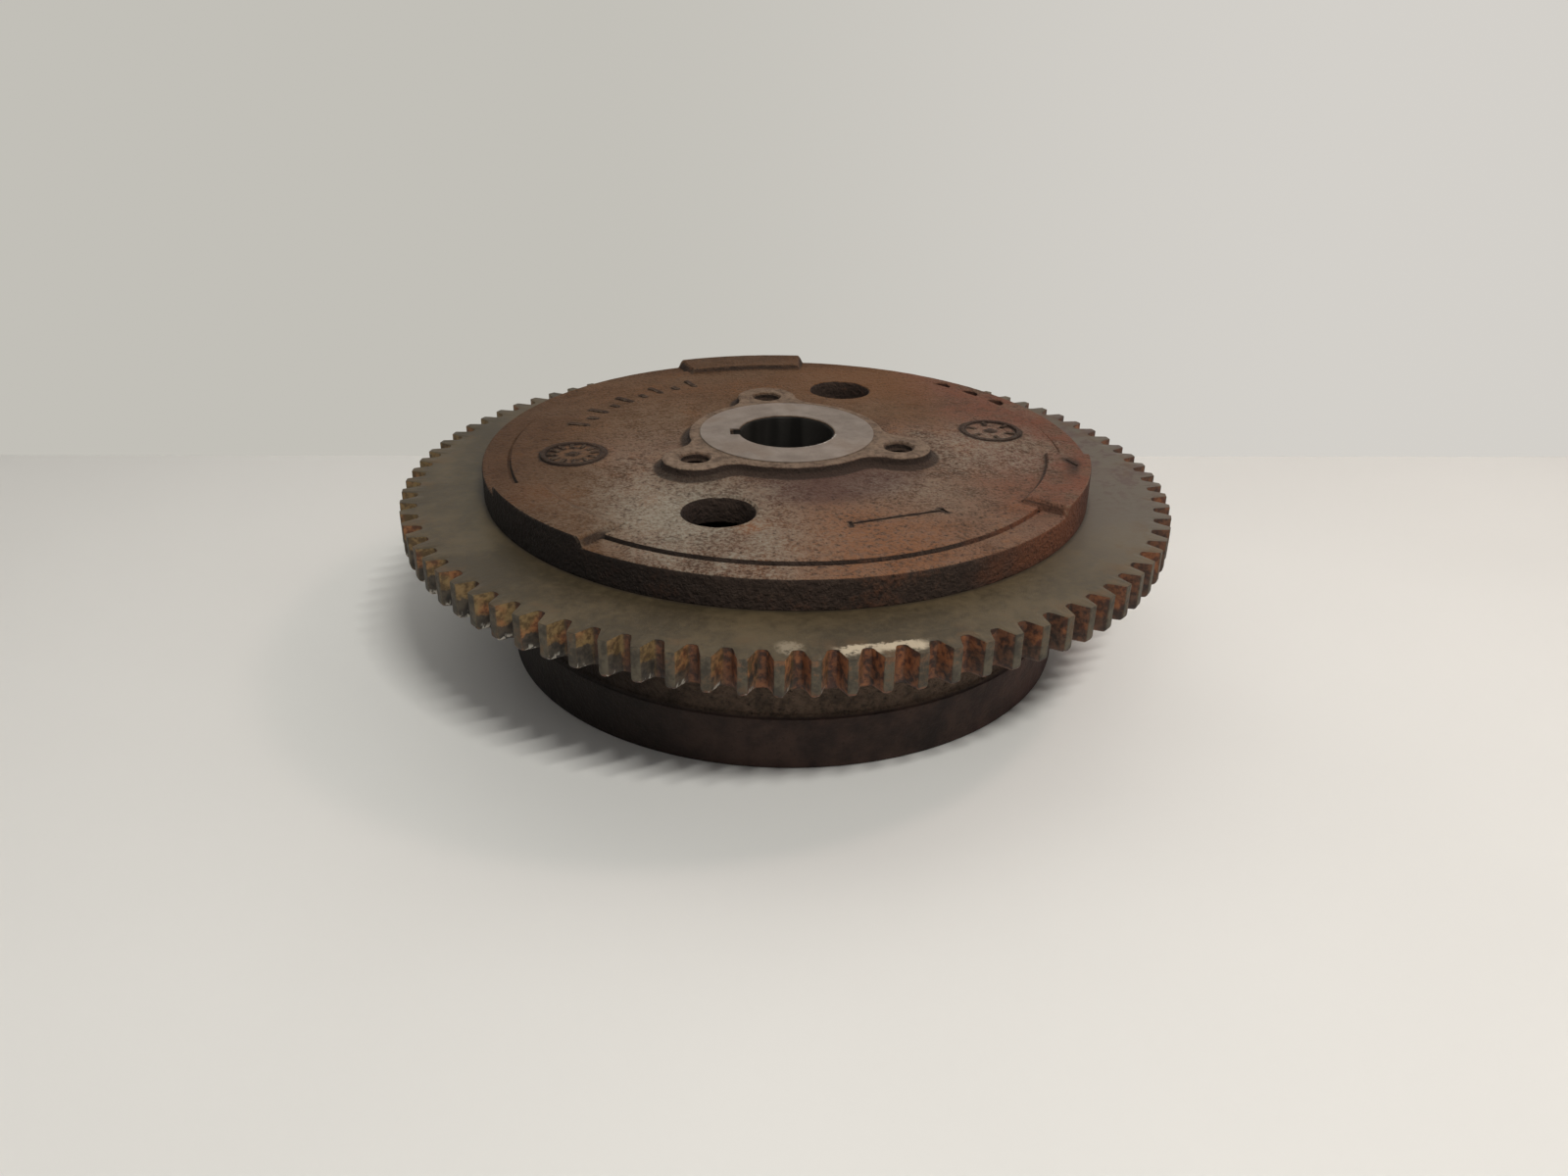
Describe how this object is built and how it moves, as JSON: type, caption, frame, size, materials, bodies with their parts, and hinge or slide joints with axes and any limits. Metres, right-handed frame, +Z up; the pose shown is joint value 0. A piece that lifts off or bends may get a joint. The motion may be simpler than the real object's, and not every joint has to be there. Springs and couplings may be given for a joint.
{
  "type": "magneto flywheel with starter ring gear",
  "caption": "Cast-iron magneto flywheel for a small engine: a cup with magnets and pole shoes inside, a shrunk-on starter ring gear and a tapered, keyed hub.",
  "frame": {"origin": "on the crankshaft axis, in the plane that the open rim of the cup stands on", "axes": "+Z up the crankshaft axis from the open rim to the hub face, +Y through one of the three puller holes"},
  "size_m": [0.2201, 0.2202, 0.0615],
  "materials": {
    "casting": "rusty as-cast",
    "gear_steel": "oxidised, turned",
    "ground_steel": "ground",
    "magnet_alloy": "cast and ground, dull",
    "pole_laminations": "laminated, turned face",
    "spacer_brass": "dull",
    "screw_steel": "oxidised",
    "rivet_steel": "oxidised"
  },
  "bodies": {
    "root": {"flywheel_body": "casting", "ring_gear": "gear_steel", "breaker_cam": "ground_steel", "cam_dowel": "ground_steel", "magnet_1": "magnet_alloy", "magnet_2": "magnet_alloy", "magnet_3": "magnet_alloy", "magnet_4": "magnet_alloy", "magnet_5": "magnet_alloy", "magnet_6": "magnet_alloy", "pole_shoe_1": "pole_laminations", "pole_shoe_2": "pole_laminations", "pole_shoe_3": "pole_laminations", "pole_shoe_4": "pole_laminations", "pole_shoe_5": "pole_laminations", "pole_shoe_6": "pole_laminations", "magnet_spacer_1": "spacer_brass", "magnet_spacer_2": "spacer_brass", "magnet_spacer_3": "spacer_brass", "magnet_spacer_4": "spacer_brass", "magnet_spacer_5": "spacer_brass", "magnet_spacer_6": "spacer_brass", "pole_screws_1": "screw_steel", "pole_screws_2": "screw_steel", "pole_screws_3": "screw_steel", "pole_screws_4": "screw_steel", "pole_screws_5": "screw_steel", "pole_screws_6": "screw_steel", "pole_rivets_1": "rivet_steel", "pole_rivets_2": "rivet_steel", "pole_rivets_3": "rivet_steel", "pole_rivets_4": "rivet_steel", "pole_rivets_5": "rivet_steel", "pole_rivets_6": "rivet_steel"}
  },
  "joints": []
}
